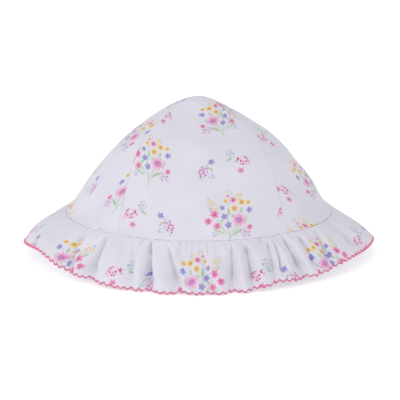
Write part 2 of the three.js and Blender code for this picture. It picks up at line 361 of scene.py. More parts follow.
def lip_drop(distance, radius):
    """How far a rounded edge lies below the face, at a distance from the edge."""
    reach = np.clip(1 - distance / radius, 0, 1)
    return radius * (1 - np.sqrt(1 - reach * reach))


def pucker_depth(seam, down, distance):
    depth = 0
    for place, deep in puckers_by_seam[seam % len(SEAMS)]:
        depth = depth + deep * bell((down * OUTLINE_LENGTH - place) / SEAM_PUCKER_HALF_LENGTH)
    return depth * (1 - soft_step(distance, 0, SEAM_PUCKER_REACH))


def swell_at(down, azimuth):
    """Slow rises and hollows of cloth that holds its shape by itself."""
    waves = 0
    for around, along, shift, share in SWELL_WAVES:
        waves = waves + np.sin(around * azimuth + along * down + shift) * share
    return SWELL * waves * np.sin(math.pi * down)


def gore_grids(gore):
    """The face and reverse of a gore as grids, and the place of each point on the flat cloth."""
    lip_down = LIP_STEPS[::-1] / OUTLINE_LENGTH
    tip_down = TIP_RADIUS / OUTLINE_LENGTH
    down = np.concatenate([np.linspace(tip_down, 1 - lip_down[0], GORE_ROWS)[:-1], 1 - lip_down])[:, None]
    start, angle = gore_span(gore, down)
    rough = crown_point(down, start + angle * np.linspace(0, 1, STEPS_ACROSS + 1), 0)
    width = np.linalg.norm(np.diff(rough, axis=1), axis=2).sum(axis=1)[:, None]
    lip = np.minimum(LIP_STEPS[-1], LIP_SHARE * width)
    near = lip / LIP_STEPS[-1] * LIP_STEPS
    middle = blend(lip, width - lip, np.linspace(0, 1, GORE_COLUMNS)[1:-1])
    from_seam = np.concatenate([near, middle, width - near[:, ::-1]], axis=1)
    half_gap = SEAM_GAP / 2 / width * angle
    azimuth = start + half_gap + from_seam / width * (angle - 2 * half_gap)
    seam_drop = lip_drop(np.minimum(from_seam, width - from_seam), SEAM_LIP * lip / LIP_STEPS[-1])
    sunk = np.maximum(seam_drop, lip_drop((1 - down) * OUTLINE_LENGTH, EDGE_LIP))
    sunk = sunk + pucker_depth(gore, down, from_seam) + pucker_depth(gore + 1, down, width - from_seam)
    face = crown_point(down, azimuth, sunk - swell_at(down, azimuth))
    reverse = crown_point(down, azimuth, CROWN_WALL - swell_at(down, azimuth))
    flat = np.stack(np.broadcast_arrays(from_seam - width / 2, -down * OUTLINE_LENGTH), axis=-1)
    return face, reverse, flat


print("Drop of a seam's lip at 0 and 0.1 mm from it, mm:", lip_drop(np.array([0, 0.1]), SEAM_LIP).round(3))

# %% Make the gores
# Where each gore is cut from the printed cloth, in mm
GORE_CUTS = [(9, 4), (31, 62), (72, 20), (15, 95)]
gores = []
gore_flats = []
for gore, name in enumerate(GORE_NAMES):
    face, reverse, flat = gore_grids(gore)
    span = np.ptp(flat.reshape(-1, 2), axis=0)
    widths = np.ptp(flat[..., 0], axis=1)
    area = float(((widths[1:] + widths[:-1]) / 2 * -np.diff(flat[:, 0, 1])).sum())
    piece = cloth_wall(name + "_gore_cloth", face, reverse, flat + GORE_CUTS[gore], False)
    gores.append(piece)
    gore_flats.append((span, area))
    print(piece.name, triangles(piece), "triangles, flat", span.round(1), "mm, area", round(area), "mm2")

# %% [markdown]
# ## The ruffle
# The brim is a straight strip of the same cloth, longer than the crown's edge, gathered as it is
# sewn on. Near the seam its spare length goes into many short puckers, further down into a few
# deep folds that open towards the edge. A cloth simulation would place these folds where it likes,
# so they are placed from a table, as the CAD source does, and the small puckers are drawn
# at random from a fixed seed. A fold that leans is pushed sideways over its own valley.

# %% Tables of the ruffle
BRIM_HALF_WIDTH = 103.2
BRIM_HALF_DEPTH = 88.4
RUFFLE_WALL = 1.2
GATHERED_WALL = 2
RUFFLE_INSET = 1.7
ROLL_INSET = 0.05
ROLL_WHOLE_FROM = 0.004
SEAM_ALLOWANCE = 4
PUFF_IN_FRONT = 0.29
PUFF_BEHIND = 0.22
SIDE_LIFT = 10.9
LIFT_FLAT = 0.15
LIFT_WHOLE_FROM = 0.92
LIFT_TURNED = 2.7 * DEGREE
LIFT_SHARE_BEHIND = 0.2
TURNS_BEHIND = (-0.35, 0.17)

# Where the ruffle hangs in a way of its own: azimuth and reach in degrees, how much higher and
# further out its edge is in mm, and how much more it puffs
LOBES = [
    (-104, 12, 0, 0, -0.1), (-84, 24, -4.2, 2.2, 0.14), (-48, 16, -2, 0, 0), (25, 13, 1.9, 0, 0),
    (45, 18, -2.4, 0, 0), (66, 20, -3.2, 0, 0), (86, 22, -3, 2, 0.04), (100, 16, 0, 0, -0.18),
    (0, 62, 0, 2.6, 0), (180, 62, 0, 2, 0), (-133, 22, 12, 0, 0), (133, 22, 12, 0, 0),
]

# Azimuth at the crown and at the edge, half width in degrees, depth in mm, the share of that depth
# at the edge, and how far the fold leans over its valley
FOLDS = [
    (-53, -46.5, 5.5, 5.4, 0.45, 0.3), (-38.8, -36.2, 4.8, 7, 0.5, 0.35), (-26, -21.5, 4.8, 3.6, 0.6, 0.2),
    (-19.2, -15.6, 4.8, 7, 0.6, 0.35), (-12.6, -5.8, 4, 4.6, 0.7, 0.25), (-2.4, -3.4, 4, 2.2, 0.5, 0.2),
    (1.2, 3, 3.6, 2.6, 0.6, 0.2), (12.8, 11, 4.6, 5.4, 0.8, 0.3), (18.4, 17.4, 3.8, 4.9, 0.65, 0.25),
    (27.4, 25, 4.2, 4.6, 0.6, 0.3), (30.3, 27.4, 3, 3.8, 0.3, 0.2), (34.4, 35.9, 4.8, 5.8, 0.75, 0.3),
    (42.4, 42, 4.4, 4.4, 0.4, 0.3), (53.5, 48.5, 5, 5, 0.4, 0.3), (69, 66.5, 6.5, 4.4, 0.15, 0.2),
    (104, 101, 7, 4, 0.6, 0.3), (115, 117, 5.5, 5.5, 0.7, -0.3), (128, 125.5, 6, 5, 0.6, 0.3),
    (140, 142, 5, 6.4, 0.7, 0.35), (151, 149, 6, 4, 0.6, -0.3), (161, 162.5, 5, 6, 0.7, 0.3),
    (172, 170, 6.5, 3, 0.6, 0.2), (184, 186, 5, 6.2, 0.7, -0.35), (195, 192.5, 5.5, 4.6, 0.6, 0.3),
    (207, 209, 5, 6.4, 0.7, 0.35), (219, 217, 6.5, 3.6, 0.6, -0.3), (229, 232, 5.5, 5.8, 0.6, 0.3),
    (242, 240, 6.5, 4.2, 0.6, -0.3), (254, 256.5, 7, 4.4, 0.6, 0.3), (266, 268, 7, 3, 0.6, 0.2),
]
print(len(FOLDS), "folds in the ruffle")

# %% Lift and folds
MEAN_RADIUS = 88
# Over which shares of the fall a fold grows to its depth in the table, deepens by a share of it
# and widens from its pinched top, and from where on it fades to its depth at the edge
FOLD_GROWS = (0, 0.42)
FOLD_DEEPENS = (0.45, 0.82)
DEEPER_SHARE = 0.48
FOLD_OPENS = (0, 0.5)
PINCHED_SHARE = 0.45
FOLD_FADES_FROM = 0.82
LEAN_FADES_FROM = 0.7
CREASE_SHARE = 0.5
CREASE_AT_JOIN = 7
CREASE_AT_EDGE = 2.5


def behind_at(azimuth):
    return 1 - soft_step(np.cos(azimuth), *TURNS_BEHIND)


def lobes_at(azimuth):
    """How much higher, further out and puffier the lobes make the ruffle at an azimuth."""
    sums = np.zeros((3, *np.shape(azimuth)))
    for middle, reach, *amounts in LOBES:
        share = bell(turn_between(middle * DEGREE, azimuth) / (reach * DEGREE))
        sums += np.multiply.outer(amounts, share)
    return sums


def lift_at(azimuth):
    sideways = soft_step(np.sin(azimuth + LIFT_TURNED) ** 2, 0, LIFT_WHOLE_FROM)
    lift = SIDE_LIFT * blend(1, LIFT_SHARE_BEHIND, behind_at(azimuth)) * sideways
    return np.maximum(0, lift + lobes_at(azimuth)[0] - LIFT_FLAT)


def valley(across, fall):
    """Across a fold: round at its rims and creased along its bottom, more sharply near the join."""
    crease = np.clip(1 - np.abs(across), 0, 1) ** blend(CREASE_AT_JOIN, CREASE_AT_EDGE, fall)
    return blend(bell(across), crease, CREASE_SHARE)


def fold_moves(azimuth, fall):
    """How far the folds move the cloth inwards and sideways."""
    growth, fading = soft_step(fall, *FOLD_GROWS), soft_step(fall, FOLD_FADES_FROM, 1)
    deepening = 1 + DEEPER_SHARE * soft_step(fall, *FOLD_DEEPENS)
    opening = blend(PINCHED_SHARE, 1, soft_step(fall, *FOLD_OPENS))
    squares, sideways = 0, 0
    for at_crown, at_edge, half_width, depth, edge_share, lean in FOLDS:
        reach = half_width * opening
        share = growth * blend(deepening, edge_share, fading)
        leaning = lean * growth * (1 - soft_step(fall, LEAN_FADES_FROM, 1))
        middle = blend(at_crown, at_edge, fall) - leaning * reach
        across = turn_between(middle * DEGREE, azimuth) / (reach * DEGREE)
        squares = squares + (depth * share * valley(across, fall)) ** 2
        sideways = sideways + leaning * reach * DEGREE * MEAN_RADIUS * bell(across)
    return np.sqrt(squares), sideways


print("Lift at the right side, mm:", round(float(lift_at(np.array(math.pi / 2))), 1))

# %% Small puckers and soft creases
PUCKER_SPACING = (3, 7)
PUCKER_WIDTH = 0.45
CREASE_SPACING = (9, 17)
CREASE_WIDTH = 0.34
VALLEYS_AT_MOST = 240
VALLEY_FULL_FROM = 0.15
VALLEY_FADES_FROM = 0.3


def scattered_valleys(spacing, width, depths, starts, lengths, slants):
    """Valleys down the ruffle: azimuth, half width, depth, start, length and slant of each."""
    steps = craft.uniform(*spacing, VALLEYS_AT_MOST) / MEAN_RADIUS
    azimuths = np.cumsum(steps)
    steps = steps[azimuths < 2 * math.pi]
    drawn = [craft.uniform(*limits, len(steps)) for limits in (depths, starts, lengths, slants)]
    return list(zip(azimuths, steps * width, *drawn))


puckers = scattered_valleys(PUCKER_SPACING, PUCKER_WIDTH, (0.6, 1.9), (-0.04, 0), (0.2, 0.65), (-0.02, 0.02))
creases = scattered_valleys(CREASE_SPACING, CREASE_WIDTH, (0.4, 1.5), (0, 0.25), (0.5, 0.9), (-0.05, 0.05))


def small_valleys(azimuth, fall):
    depth = 0
    for middle, half_width, deep, starts, length, slant in (*puckers, *creases):
        down = (fall - starts) / length
        across = turn_between(middle + slant * fall, azimuth) / half_width
        shown = soft_step(down, 0, VALLEY_FULL_FROM) * (1 - soft_step(down, VALLEY_FADES_FROM, 1))
        depth = depth + deep * shown * valley(across, fall)
    return depth


print(len(puckers), "puckers along the gathers and", len(creases), "soft creases")

# %% [markdown]
# The ruffle puffs out a little before it falls, rests on the table at the front and back, and lifts
# at the sides. Below the CAD edge of the cloth the strip goes on into the scallops of the edging.
# Its columns are spaced evenly along that edge, because the scallops are all of one size.


# %% A point of the ruffle
CAD_EDGE_HEIGHT = 2.5
THREAD_REACH = 1.1
SCALLOP_HEIGHT = (0.7, 1.3)
END_STEP = 0.01


def inside_ruffle(azimuth, fall, puckered):
    """A point of the ruffle's face, with fall from 0 at the join to 1 at the CAD edge."""
    join = crown_point(1, azimuth, blend(RUFFLE_INSET, ROLL_INSET, soft_step(fall, 0, ROLL_WHOLE_FROM)))
    _, further_out, more_puff = lobes_at(azimuth)
    puff = (blend(PUFF_IN_FRONT, PUFF_BEHIND, behind_at(azimuth)) + more_puff) * (1 - fall)
    out, drop = fall * (1 + puff), fall * (1 - puff)
    inward, sideways = fold_moves(azimuth, fall)
    if puckered:
        inward = inward + small_valleys(azimuth, fall)
    sine, cosine = np.sin(azimuth), np.cos(azimuth)
    edge_x, edge_y = (BRIM_HALF_WIDTH + further_out) * sine, -(BRIM_HALF_DEPTH + further_out) * cosine
    x = blend(join[..., 0], edge_x, out) - inward * sine + sideways * cosine
    y = blend(join[..., 1], edge_y, out) + inward * cosine + sideways * sine
    z = blend(join[..., 2], lift_at(azimuth) + CAD_EDGE_HEIGHT, drop)
    return np.stack([x, y, z], axis=-1)


def ruffle_point(azimuth, fall, puckered=True):
    """The same, going straight on below the CAD edge where fall is more than 1."""
    point = inside_ruffle(azimuth, np.minimum(fall, 1), puckered)
    edge = inside_ruffle(azimuth, np.ones_like(fall), puckered)
    above = inside_ruffle(azimuth, np.ones_like(fall) - END_STEP, puckered)
    return point + (edge - above) / END_STEP * np.maximum(fall - 1, 0)[..., None]


def edge_fall(azimuth, height):
    """The fall at which the cloth is at a height above its lift."""
    ones = np.ones_like(azimuth)
    edge = inside_ruffle(azimuth, ones, False)[..., 2]
    above = inside_ruffle(azimuth, ones - END_STEP, False)[..., 2]
    return 1 + (edge - lift_at(azimuth) - height) / (above - edge) * END_STEP


front_edge = ruffle_point(np.zeros(1), np.ones(1))[0]
print("Front of the ruffle's CAD edge, mm:", front_edge.round(1))

# %% Space the columns evenly along the edge
SCALLOPS = 154
WAVE_SOFTNESS = 0.75
UNEVEN = 0.16
COLUMNS_PER_SCALLOP = 7
BACK_SEAM = math.pi
STEPS_ROUND = 7200

dense = np.linspace(BACK_SEAM, BACK_SEAM + 2 * math.pi, STEPS_ROUND + 1)
dense_edge = ruffle_point(dense, np.ones_like(dense), False)
edge_run = length_along(dense_edge)
EDGE_LENGTH = edge_run[-1]


def along_edge(count):
    """Azimuths evenly spaced along the edge, starting from the back seam."""
    return np.interp(np.arange(count) / count * EDGE_LENGTH, edge_run, dense)


wave_heights = craft.uniform(*SCALLOP_HEIGHT, SCALLOPS)
wave_shifts = craft.uniform(-UNEVEN, UNEVEN, SCALLOPS)


def ring_of(values, places):
    """Values given once a scallop, read at any place round the ring."""
    return np.interp(places, np.arange(SCALLOPS + 1), [*values, values[0]])


def scallop_height(count):
    """Height of the edge over its lowest, an uneven wave with soft peaks, at even places."""
    places = np.arange(count) * SCALLOPS / count
    share = (places + ring_of(wave_shifts, places)) % 1
    wave = blend(np.abs(1 - 2 * share), (1 + np.cos(2 * math.pi * share)) / 2, WAVE_SOFTNESS)
    return ring_of(wave_heights, places) * wave


print("Edge of the ruffle, mm:", round(EDGE_LENGTH, 1), "scallop, mm:", round(EDGE_LENGTH / SCALLOPS, 2))

# %% Rows and columns of the ruffle
RUFFLE_ROWS = 42
SCALLOPS_FROM = 0.9
CLOSER_AT_TOP = 1.3
ruffle_columns = SCALLOPS * COLUMNS_PER_SCALLOP
azimuth = along_edge(ruffle_columns)
last_fall = edge_fall(azimuth, THREAD_REACH + scallop_height(ruffle_columns))
share = np.linspace(0, 1, RUFFLE_ROWS)[:, None] ** CLOSER_AT_TOP
low_share = np.clip((share - SCALLOPS_FROM) / (1 - SCALLOPS_FROM), 0, 1)
fall = np.where(share < SCALLOPS_FROM, share, blend(SCALLOPS_FROM, last_fall, low_share))
azimuths = np.broadcast_to(azimuth, fall.shape)
print("The ruffle has", ruffle_columns, "columns of", RUFFLE_ROWS, "points")

# %% Make the ruffle
# The cloth thins from the gathers to a single layer over these shares of the fall
GATHERS_THIN = (0.15, 0.5)
# Rows of the turned-up allowance, as shares of its height
ALLOWANCE_ROWS = np.array([1, 0.6, 0.25])
# Where the strip is cut from the printed cloth, in mm
RUFFLE_CUT = (20, 43)


def face_normals(grid):
    """Outward directions of a ring of cloth, from the points round each one."""
    down = np.gradient(grid, axis=0)
    around = np.roll(grid, -1, axis=1) - np.roll(grid, 1, axis=1)
    return unit(np.cross(down, around))


ruffle_face = ruffle_point(azimuths, fall)
plain_face = ruffle_point(azimuths, fall, False)
gathered_wall = blend(GATHERED_WALL, RUFFLE_WALL, soft_step(fall, *GATHERS_THIN))[..., None]
ruffle_reverse = plain_face - face_normals(plain_face) * gathered_wall
allowance = (1 - SEAM_ALLOWANCE / OUTLINE_LENGTH * ALLOWANCE_ROWS)[:, None]
inside = [crown_point(allowance, azimuth, RUFFLE_INSET + extra) for extra in (0, RUFFLE_WALL)]
ruffle_face = np.concatenate([inside[0], ruffle_face])
ruffle_reverse = np.concatenate([inside[1], ruffle_reverse])

run_down = length_along(ruffle_face)
run_down = np.concatenate([run_down, run_down[:, :1]], axis=1)
run_along = np.arange(ruffle_columns + 1) / ruffle_columns * EDGE_LENGTH
ruffle_flat = np.stack(np.broadcast_arrays(run_along, -run_down), axis=-1) + RUFFLE_CUT
ruffle = cloth_wall("ruffle_cloth", ruffle_face, ruffle_reverse, ruffle_flat, True)

# %% [markdown]
# ## The picot edging
# A pink cotton thread is worked over the rolled edge of the ruffle, and pulls the edge up into a
# small zigzag. A curve with a round bevel would look like a wire. Here two plies wind round the
# same wavy edge as the cloth's, so the thread goes wherever the folds go.

# %% Follow the edge
POINTS_PER_SCALLOP = 24
edge_count = SCALLOPS * POINTS_PER_SCALLOP
edge_azimuth = along_edge(edge_count)
edge_at = edge_fall(edge_azimuth, THREAD_REACH + scallop_height(edge_count))
edge_point = ruffle_point(edge_azimuth, edge_at, False)
above_point = ruffle_point(edge_azimuth, edge_at - END_STEP, False)
edge_down = unit(edge_point - above_point)
smooth_edge = ruffle_point(edge_azimuth, np.ones(edge_count), False)
edge_along = unit(np.roll(smooth_edge, -1, axis=0) - np.roll(smooth_edge, 1, axis=0))
edge_out = unit(np.cross(edge_down, edge_along))
edge_middle = edge_point - edge_out * RUFFLE_WALL / 2
print("Lowest middle of the edging, mm:", edge_middle[:, 2].min().round(2))

# %% Wind the plies
PLY_RADIUS = 0.55
PLY_OUT = 0.36
PLY_DOWN = 0.18
TWISTS_PER_SCALLOP = 3
PLY_SIDES = 6


def ring_tube(centres, first, second, radius, sides):
    """Vertices and faces of a closed tube round a ring of centres."""
    turn = np.arange(sides) / sides * 2 * math.pi
    circle = first[:, None] * np.cos(turn)[:, None] + second[:, None] * np.sin(turn)[:, None]
    points = (centres[:, None] + radius * circle).reshape(-1, 3)
    ring, side = np.meshgrid(np.arange(len(centres)), np.arange(sides), indexing="ij")
    here, after, beside = ring * sides, (ring + 1) % len(centres) * sides, (side + 1) % sides
    faces = np.stack([here + side, after + side, after + beside, here + beside], -1)
    return points, faces.reshape(-1, 4)


tubes = []
wind = np.arange(edge_count) / POINTS_PER_SCALLOP * TWISTS_PER_SCALLOP * 2 * math.pi
for phase in (0, math.pi):
    out = np.cos(wind + phase)[:, None] * PLY_OUT
    down = np.sin(wind + phase)[:, None] * PLY_DOWN
    centres = edge_middle + edge_out * out + edge_down * down
    tubes.append(ring_tube(centres, edge_out, edge_down, PLY_RADIUS, PLY_SIDES))
print(len(tubes), "plies of", edge_count, "rings each")

# %% Join them into the edging
offsets = np.cumsum([0] + [len(points) for points, _ in tubes])
thread_points = np.concatenate([points for points, _ in tubes])
thread_faces = np.concatenate([faces + offset for (_, faces), offset in zip(tubes, offsets)])
edging = new_piece("picot_thread", thread_points, thread_faces)
shell = bmesh.new()
shell.from_mesh(edging.data)
bmesh.ops.recalc_face_normals(shell, faces=shell.faces)
shell.to_mesh(edging.data)
shell.free()
smooth(edging)
print(edging.name, triangles(edging), "triangles")
print("Lowest point of the thread, mm:", thread_points[:, 2].min().round(2))

# %% [markdown]
# ## Colours and nodes
# Colours are written as sRGB hex, as a picker shows them, and turned to the linear values that the
# shader wants. One helper adds a node with its settings and links, so that each material reads as
# a list of its parts.


# %% Helpers for materials
def colour(text, alpha=1):
    """An sRGB hex colour as linear values."""
    parts = [int(text[place:place + 2], 16) / 255 for place in (1, 3, 5)]
    linear = [part / 12.92 if part <= 0.04045 else ((part + 0.055) / 1.055) ** 2.4 for part in parts]
    return (*linear, alpha)


def add_node(tree, kind, inputs=(), stops=(), **settings):
    """Adds a node. inputs pairs a socket's name or number with a value or with another socket, and
    stops holds the places, colours and alphas of a colour ramp."""
    new = tree.nodes.new(kind)
    for key, value in settings.items():
        setattr(new, key, value)
    for key, value in dict(inputs).items():
        if isinstance(value, bpy.types.NodeSocket):
            tree.links.new(value, new.inputs[key])
        else:
            new.inputs[key].default_value = value
    if stops:
        elements = new.color_ramp.elements
        while len(elements) < len(stops):
            elements.new(1)
        for element, (place, text, alpha) in zip(elements, stops):
            element.position = place
            element.color = colour(text, alpha)
    return new


def new_material(name):
    """A material with its tree emptied but for the output."""
    material = bpy.data.materials.new(name)
    material.use_nodes = True
    tree = material.node_tree
    tree.nodes.clear()
    return material, tree, add_node(tree, "ShaderNodeOutputMaterial")


print("Mid grey in linear values:", [round(part, 3) for part in colour("#808080")])

# %% [markdown]
# ## The print
# The cloth is printed with small garden flowers: posies with loose sprigs between them, mirrored
# from one repeat to the next as on a roller print. An image would be the usual way. Here each
# flower is drawn by nodes instead, as a soft-edged shape in its own small coordinates, so it
# stays sharp at any size. The pattern's repeat is 46 by 70 mm, the scale of a ditsy print. Math
# nodes, listed one a row, find the place of a point in its repeat.

# %% The repeat of the print
REPEAT_WIDTH = 46
REPEAT_HEIGHT = 70

# Result, operation, and the values or earlier results that it works on
PLACE_STEPS = [
    ("columns", "DIVIDE", "x", REPEAT_WIDTH),
    ("column", "FLOOR", "columns"),
    ("odd_column", "FLOORED_MODULO", "column", 2),
    ("shifted_y", "MULTIPLY_ADD", "odd_column", REPEAT_HEIGHT / 2, "y"),
    ("rows", "DIVIDE", "shifted_y", REPEAT_HEIGHT),
    ("row", "FLOOR", "rows"),
    ("cell", "ADD", "row", "column"),
    ("odd_cell", "FLOORED_MODULO", "cell", 2),
    ("sign", "MULTIPLY_ADD", "odd_cell", -2, 1),
    ("from_left", "FLOORED_MODULO", "x", REPEAT_WIDTH),
    ("from_middle", "SUBTRACT", "from_left", REPEAT_WIDTH / 2),
    ("mirrored", "MULTIPLY", "from_middle", "sign"),
    ("from_below", "FLOORED_MODULO", "shifted_y", REPEAT_HEIGHT),
    ("height", "SUBTRACT", "from_below", REPEAT_HEIGHT / 2),
]


def print_place(tree):
    """The place in its repeat of a point of the cloth, in mm from the repeat's middle."""
    flat = add_node(tree, "ShaderNodeUVMap", uv_map=CLOTH_MAP)
    in_mm = add_node(tree, "ShaderNodeVectorMath", {0: flat.outputs[0], "Scale": 1 / MM}, operation="SCALE")
    split = add_node(tree, "ShaderNodeSeparateXYZ", {0: in_mm.outputs[0]})
    known = {"x": split.outputs[0], "y": split.outputs[1]}
    for result, operation, *values in PLACE_STEPS:
        inputs = {number: known.get(value, value) for number, value in enumerate(values)}
        known[result] = add_node(tree, "ShaderNodeMath", inputs, operation=operation).outputs[0]
    place = add_node(tree, "ShaderNodeCombineXYZ", {0: known["mirrored"], 1: known["height"]})
    return place.outputs[0]


print("Repeat of the print, mm:", REPEAT_WIDTH, "by", REPEAT_HEIGHT)

# %% [markdown]
# A Mapping node gives every shape of the print its own coordinates, and the shape is a distance in
# them, 0 at its heart and 1 at its rim. A ramp from heart to rim holds its colours, and fades out at
# the rim. Three shapes are enough: blossoms, whose rim swings in and out between petals, lenses of
# different widths for leaves and stems, and sprays of tiny florets scattered in a lens.

# %% Blossoms and lenses
def own_place(tree, place, centre, size, turn):
    inputs = {"Location": (*centre, 0), "Rotation": (0, 0, turn * DEGREE), "Scale": (*size, 1), 0: place}
    return add_node(tree, "ShaderNodeMapping", inputs, vector_type="TEXTURE").outputs[0]


def blossom(tree, place, centre, radius, petals, turn, notch):
    """The distance from the heart of a blossom whose rim swings in and out between its petals."""
    own = own_place(tree, place, centre, (radius, radius), turn)
    from_heart = add_node(tree, "ShaderNodeVectorMath", {0: own}, operation="LENGTH").outputs["Value"]
    angle = add_node(tree, "ShaderNodeTexGradient", {0: own}, gradient_type="RADIAL").outputs["Fac"]
    turned = add_node(tree, "ShaderNodeMath", {0: angle, 1: 2 * math.pi * petals}, operation="MULTIPLY")
    swing = add_node(tree, "ShaderNodeMath", {0: turned.outputs[0]}, operation="COSINE")
    inputs = {0: swing.outputs[0], 1: notch, 2: 1 - notch}
    reach = add_node(tree, "ShaderNodeMath", inputs, operation="MULTIPLY_ADD").outputs[0]
    return add_node(tree, "ShaderNodeMath", {0: from_heart, 1: reach}, operation="DIVIDE").outputs[0]


def lens(tree, place, centre, size, turn, bend):
    """0 along the middle of a lens and 1 at its rim, the middle bent sideways."""
    split = add_node(tree, "ShaderNodeSeparateXYZ", {0: own_place(tree, place, centre, size, turn)})
    x, y = split.outputs[0], split.outputs[1]
    square = add_node(tree, "ShaderNodeMath", {0: x, 1: x}, operation="MULTIPLY").outputs[0]
    bent = add_node(tree, "ShaderNodeMath", {0: square, 1: bend, 2: y}, operation="MULTIPLY_ADD").outputs[0]
    aside = add_node(tree, "ShaderNodeMath", {0: bent}, operation="ABSOLUTE").outputs[0]
    return add_node(tree, "ShaderNodeMath", {0: aside, 1: square}, operation="ADD").outputs[0]


# %% Lay them over the cloth
# A Mix node keeps its share on socket 0, its colours on sockets 6 and 7, and their mix on output 2
SHARE, BELOW, OVER, MIXED = 0, 6, 7, 2
FLORET_RIM = 0.5
FLORET_SOFT_FROM = 0.7
FLORET_SCATTER = 0.8


def lay(tree, below, from_heart, stops):
    """Colours a shape from its heart to its rim and lays it over what is below it, by its alpha."""
    shape = add_node(tree, "ShaderNodeValToRGB", {0: from_heart}, stops)
    inputs = {SHARE: shape.outputs["Alpha"], BELOW: below, OVER: shape.outputs["Color"]}
    return add_node(tree, "ShaderNodeMix", inputs, data_type="RGBA").outputs[MIXED]


def spray(tree, place, below, centre, size, turn, floret, colours, bend):
    """Florets of one size scattered in a lens, each in one of the colours."""
    inside = lens(tree, place, centre, size, turn, bend)
    scatter = add_node(
        tree, "ShaderNodeTexVoronoi",
        {"Vector": place, "Scale": 1 / floret, "Randomness": FLORET_SCATTER}, voronoi_dimensions="2D",
    )
    stops = [(number / len(colours), text, 1) for number, text in enumerate(colours)]
    tint = add_node(tree, "ShaderNodeValToRGB", {0: scatter.outputs["Color"]}, stops)
    tint.color_ramp.interpolation = "CONSTANT"
    rim = {"From Min": FLORET_RIM, "From Max": FLORET_RIM * FLORET_SOFT_FROM}
    dot = add_node(tree, "ShaderNodeMapRange", {"Value": scatter.outputs["Distance"], **rim})
    kept = add_node(tree, "ShaderNodeMath", {0: inside, 1: 1}, operation="LESS_THAN")
    shown = add_node(tree, "ShaderNodeMath", {0: dot.outputs[0], 1: kept.outputs[0]}, operation="MULTIPLY")
    inputs = {SHARE: shown.outputs[0], BELOW: below, OVER: tint.outputs[0]}
    return add_node(tree, "ShaderNodeMix", inputs, data_type="RGBA").outputs[MIXED]


print("A floret fades out over", round(1 - FLORET_SOFT_FROM, 2), "of its radius")

# %% Colours of the print
ROSE = "#CC5A92"
DEEP_ROSE = "#B4487E"
PALE_ROSE = "#E5AECB"
LILAC = "#AA8AC6"
BLUE = "#6677BE"
PALE_BLUE = "#AAB4DC"
YELLOW = "#E4BC56"
AMBER = "#CE9838"
LEAF_GREEN = "#93B486"
PALE_GREEN = "#BACDAE"

PINK_BLOSSOM = [
    (0, YELLOW, 1), (0.12, BLUE, 0.9), (0.24, "#B85AA4", 1), (0.5, "#D880B6", 1), (0.85, "#E6AFD0", 1),
    (1, PALE_ROSE, 0),
]
PINK = [(0, DEEP_ROSE, 1), (0.3, "#C9558E", 1), (0.6, "#D873A4", 1), (0.88, PALE_ROSE, 1), (1, PALE_ROSE, 0)]
BLUE_BLOSSOM = [(0, ROSE, 1), (0.24, "#B77BC0", 1), (0.42, BLUE, 1), (0.75, "#8B99D2", 1), (1, PALE_BLUE, 0)]
SMALL_YELLOW = [
    (0, "#A97A3C", 1), (0.3, AMBER, 1), (0.6, "#DDB04A", 1), (0.85, "#E4C878", 1), (1, "#EEDCA8", 0),
]
LEAF = [(0, "#7FA472", 0.9), (0.35, LEAF_GREEN, 0.9), (0.9, PALE_GREEN, 0.8), (1, PALE_GREEN, 0)]
STEM = [(0, LEAF_GREEN, 0.8), (0.8, LEAF_GREEN, 0.8), (1, PALE_GREEN, 0)]
print("Shades of the pink blossom:", [text for _, text, _ in PINK_BLOSSOM])

# %% Lay out the posy and the sprigs
# Colours, petals, turn in degrees and depth of the notch between petals, then the centre and the
# radius in mm of each blossom of that kind
BLOSSOMS = [
    (PINK, 6, 12, 0.15, [
        ((-11, 12.6), 2.9), ((-7.4, 17), 3.2), ((-6.2, 9.8), 2.7), ((3.4, 25.4), 2.2), ((12.6, 8.2), 2.2),
    ]),
    (SMALL_YELLOW, 6, 20, 0.15, [
        ((8.4, 23.8), 2.5), ((4, 20.2), 2.6), ((12.4, 23.4), 1.9), ((-1, 25.2), 1.7),
    ]),
    (BLUE_BLOSSOM, 5, 0, 0.15, [((-2, 15.4), 2.5), ((0.2, 10.2), 2.5), ((12.8, 18.6), 2.4), ((-3, 21), 2)]),
    (PINK_BLOSSOM, 11, 8, 0.2, [((6.4, 13), 5)]),
    (PINK_BLOSSOM, 5, 30, 0.15, [((-8.6, -26.6), 2.6)]),
    (BLUE_BLOSSOM, 5, 12, 0.15, [((8.4, -19.4), 2.4)]),
]
# Centre, half length and half width in mm, turn in degrees, bend
LEAVES = [
    ((-5.4, 6.4), (4.6, 1), 152, 0.5), ((5.4, 5.6), (4.4, 1), 34, 0.5), ((10.2, 12.2), (3, 0.8), 62, 0),
    ((0.6, 18.4), (3.4, 0.7), 96, 0.3), ((8, 18.8), (2.6, 0.7), 74, 0), ((-9.6, 19.6), (2.8, 0.6), 120, 0.3),
    ((-3.4, 12.8), (2.6, 0.7), 60, 0.3), ((3.2, 15.4), (2.4, 0.6), 130, 0),
    ((-1.8, -18.6), (2.6, 0.8), -20, 0.3), ((8.6, -24.6), (2.4, 0.7), 60, 0.3),
]
STEMS = [
    ((-3.4, 8.8), (8.6, 0.3), 126, 1.5), ((0.2, 11), (10.8, 0.3), 93, 1), ((4.4, 10), (10.4, 0.3), 70, -1.5),
    ((0.8, 1.4), (4.4, 0.34), 82, 0), ((-4.6, 12), (9, 0.24), 112, 1), ((6.4, 9), (9, 0.24), 52, 1),
    ((-7, -18.4), (7.4, 0.24), 34, 0.7), ((12.2, -24), (6.6, 0.24), 114, -0.6),
]
